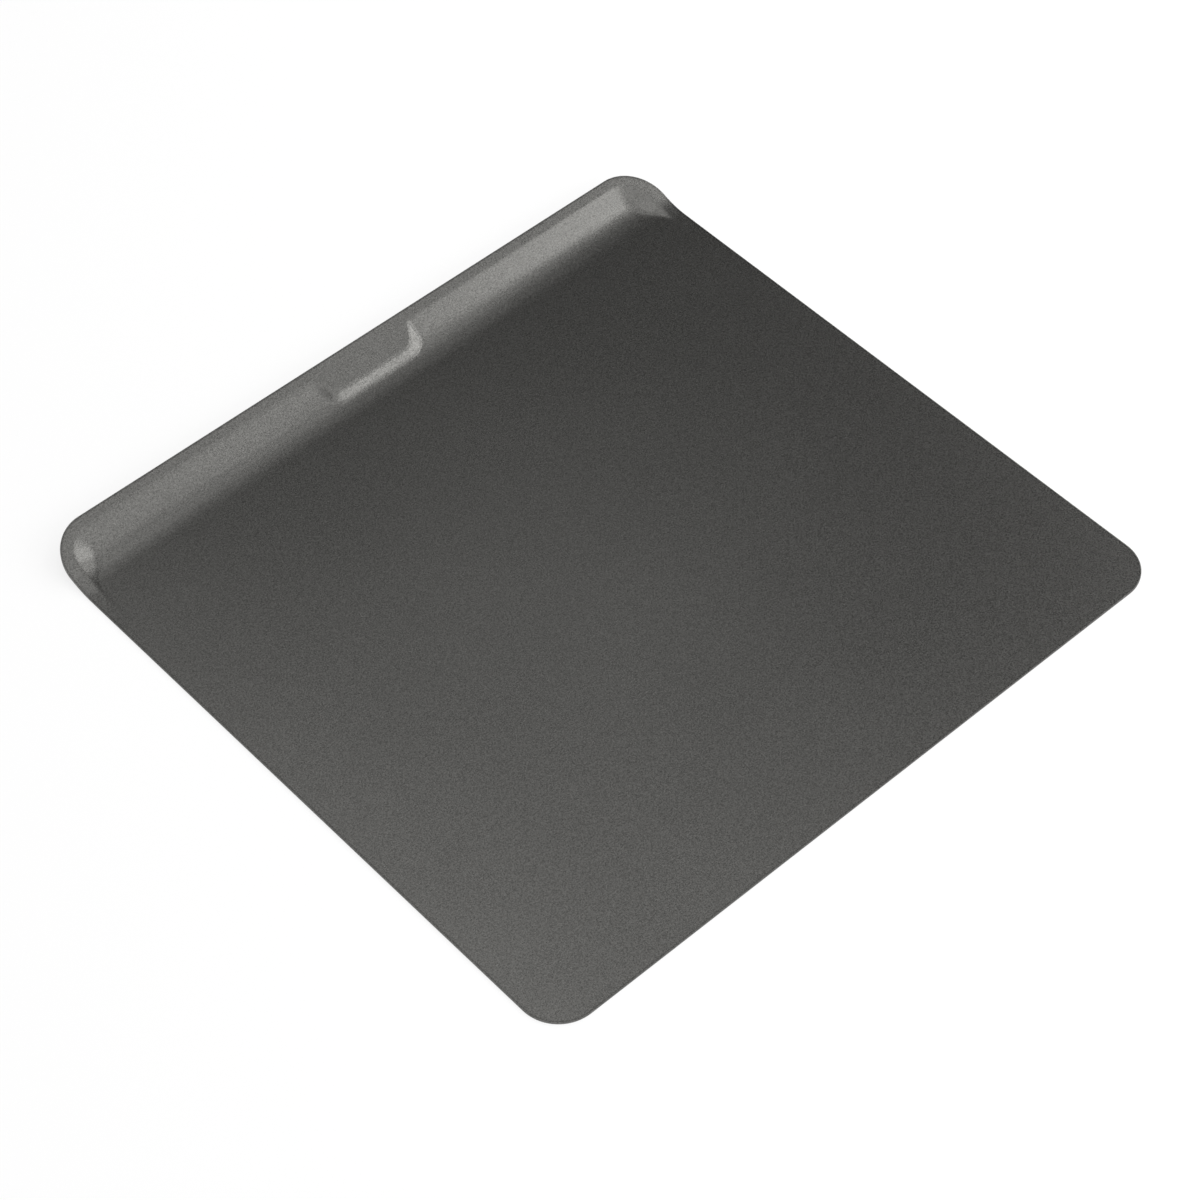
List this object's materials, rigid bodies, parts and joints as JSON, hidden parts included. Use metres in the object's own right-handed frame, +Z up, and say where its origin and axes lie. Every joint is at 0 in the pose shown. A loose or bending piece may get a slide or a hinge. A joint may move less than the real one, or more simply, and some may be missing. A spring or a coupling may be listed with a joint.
{
  "type": "cookie sheet",
  "caption": "Flat coated-steel cookie sheet with rounded corners and one raised lip with a grip pad, for baking and sliding food off the open sides",
  "frame": {"origin": "middle of the sheet in plan, on the plane that the underside rests on", "axes": "+X along the lip, +Y towards the lip, +Z up, out of the baking face"},
  "size_m": [0.381, 0.3634, 0.0121],
  "materials": {
    "bare_steel": "sheared bare edge",
    "baking_coating": "metallic grey non-stick, satin",
    "underside_coating": "metallic grey non-stick, satin"
  },
  "bodies": {
    "root": {"steel_sheet": "bare_steel", "baking_face_coating": "baking_coating", "underside_coating": "underside_coating"}
  },
  "joints": []
}
